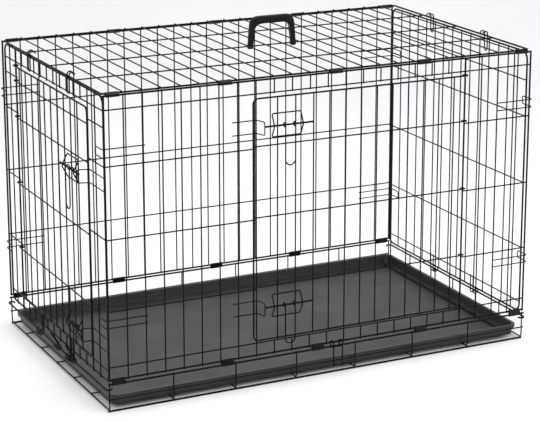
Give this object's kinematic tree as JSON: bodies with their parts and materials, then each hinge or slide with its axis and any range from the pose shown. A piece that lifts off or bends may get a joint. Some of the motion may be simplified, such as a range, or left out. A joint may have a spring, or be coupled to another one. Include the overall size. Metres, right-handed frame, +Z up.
{
  "type": "folding wire dog crate",
  "caption": "Large folding wire dog crate with a front door, an end door, sliding bolt latches, a pull-out plastic tray and a carry handle on the roof",
  "frame": {"origin": "on the floor below the middle of the cabin", "axes": "+X along the long side towards the end without a door, +Y from the front long side to the back, +Z up"},
  "size_m": [1.2662, 0.7839, 0.8952],
  "materials": {
    "black_wire": "satin black electro-coat over welded steel wire",
    "black_strap": "black coated folded sheet steel",
    "tray_plastic": "fine-grained black moulded plastic with a soft sheen",
    "dark_plastic": "matte black moulded plastic"
  },
  "bodies": {
    "crate": {"base_floor": "black_wire", "base_front_rim": "black_wire", "base_back_rim": "black_wire", "base_right_rim": "black_wire", "base_left_rail": "black_wire", "base_right_rail": "black_wire", "front_panel": "black_wire", "back_panel": "black_wire", "top_panel": "black_wire", "top_front_clips": "black_strap", "top_back_clips": "black_strap", "bottom_front_clips": "black_strap", "bottom_back_clips": "black_strap", "front_corner_stops": "black_wire", "back_corner_stops": "black_wire", "left_top_hooks": "black_wire", "right_top_hooks": "black_wire", "front_keepers": "black_wire", "fold_clasp": "black_wire"},
    "front_door": {"front_door": "black_wire", "front_brackets": "black_wire"},
    "front_upper_bolt": {"front_upper_bolt": "black_wire"},
    "front_upper_pull": {"front_upper_pull": "black_wire"},
    "front_lower_bolt": {"front_lower_bolt": "black_wire"},
    "front_lower_pull": {"front_lower_pull": "black_wire"},
    "left_end": {"left_end_panel": "black_wire", "left_hinge_eyes": "black_wire", "end_keepers": "black_wire"},
    "end_door": {"end_door": "black_wire", "end_brackets": "black_wire"},
    "end_upper_bolt": {"end_upper_bolt": "black_wire"},
    "end_upper_pull": {"end_upper_pull": "black_wire"},
    "end_lower_bolt": {"end_lower_bolt": "black_wire"},
    "end_lower_pull": {"end_lower_pull": "black_wire"},
    "right_end": {"right_end_panel": "black_wire", "right_hinge_eyes": "black_wire"},
    "tray": {"tray": "tray_plastic"},
    "middle_tray_stop": {"middle_tray_stop": "black_wire"},
    "front_tray_stop": {"front_tray_stop": "black_wire"},
    "carry_handle": {"carry_handle": "dark_plastic"}
  },
  "joints": [
    {"name": "front_door_hinge", "type": "hinge", "parent": "crate", "child": "front_door", "pos_m": [0.40667, -0.375, 0.45], "axis": [0, 0, 1], "range_deg": [0, 160]},
    {"name": "front_upper_bolt_slide", "type": "slide", "parent": "front_door", "child": "front_upper_bolt", "axis": [-1, 0, 0], "range_m": [0, 0.027]},
    {"name": "front_upper_pull_hinge", "type": "hinge", "parent": "front_upper_bolt", "child": "front_upper_pull", "pos_m": [-0.11933, -0.395, 0.695], "axis": [-1, 0, 0], "range_deg": [0, 150]},
    {"name": "front_lower_bolt_slide", "type": "slide", "parent": "front_door", "child": "front_lower_bolt", "axis": [-1, 0, 0], "range_m": [0, 0.027]},
    {"name": "front_lower_pull_hinge", "type": "hinge", "parent": "front_lower_bolt", "child": "front_lower_pull", "pos_m": [-0.11933, -0.395, 0.219], "axis": [-1, 0, 0], "range_deg": [0, 150]},
    {"name": "left_end_fold", "type": "hinge", "parent": "crate", "child": "left_end", "pos_m": [-0.618, 0, 0.062], "axis": [0, -1, 0], "range_deg": [-90, 0]},
    {"name": "end_door_hinge", "type": "hinge", "parent": "left_end", "child": "end_door", "pos_m": [-0.61, 0.26675, 0.45], "axis": [0, 0, -1], "range_deg": [0, 160]},
    {"name": "end_upper_bolt_slide", "type": "slide", "parent": "end_door", "child": "end_upper_bolt", "axis": [0, -1, 0], "range_m": [0, 0.027]},
    {"name": "end_upper_pull_hinge", "type": "hinge", "parent": "end_upper_bolt", "child": "end_upper_pull", "pos_m": [-0.63, -0.18275, 0.59], "axis": [0, 1, 0], "range_deg": [0, 150]},
    {"name": "end_lower_bolt_slide", "type": "slide", "parent": "end_door", "child": "end_lower_bolt", "axis": [0, -1, 0], "range_m": [0, 0.027]},
    {"name": "end_lower_pull_hinge", "type": "hinge", "parent": "end_lower_bolt", "child": "end_lower_pull", "pos_m": [-0.63, -0.18275, 0.175], "axis": [0, 1, 0], "range_deg": [0, 150]},
    {"name": "right_end_fold", "type": "hinge", "parent": "crate", "child": "right_end", "pos_m": [0.618, 0, 0.062], "axis": [0, 1, 0], "range_deg": [-85, 0]},
    {"name": "tray_slide", "type": "slide", "parent": "crate", "child": "tray", "axis": [1, 0, 0], "range_m": [-1.15, 0]},
    {"name": "middle_tray_stop_hinge", "type": "hinge", "parent": "crate", "child": "middle_tray_stop", "pos_m": [-0.618, -0.024, 0.062], "axis": [0, -1, 0], "range_deg": [0, 150]},
    {"name": "front_tray_stop_hinge", "type": "hinge", "parent": "crate", "child": "front_tray_stop", "pos_m": [-0.618, -0.136, 0.062], "axis": [0, -1, 0], "range_deg": [0, 150]},
    {"name": "carry_handle_hinge", "type": "hinge", "parent": "crate", "child": "carry_handle", "pos_m": [0.024, 0, 0.8152], "axis": [1, 0, 0], "range_deg": [-75, 75]}
  ]
}
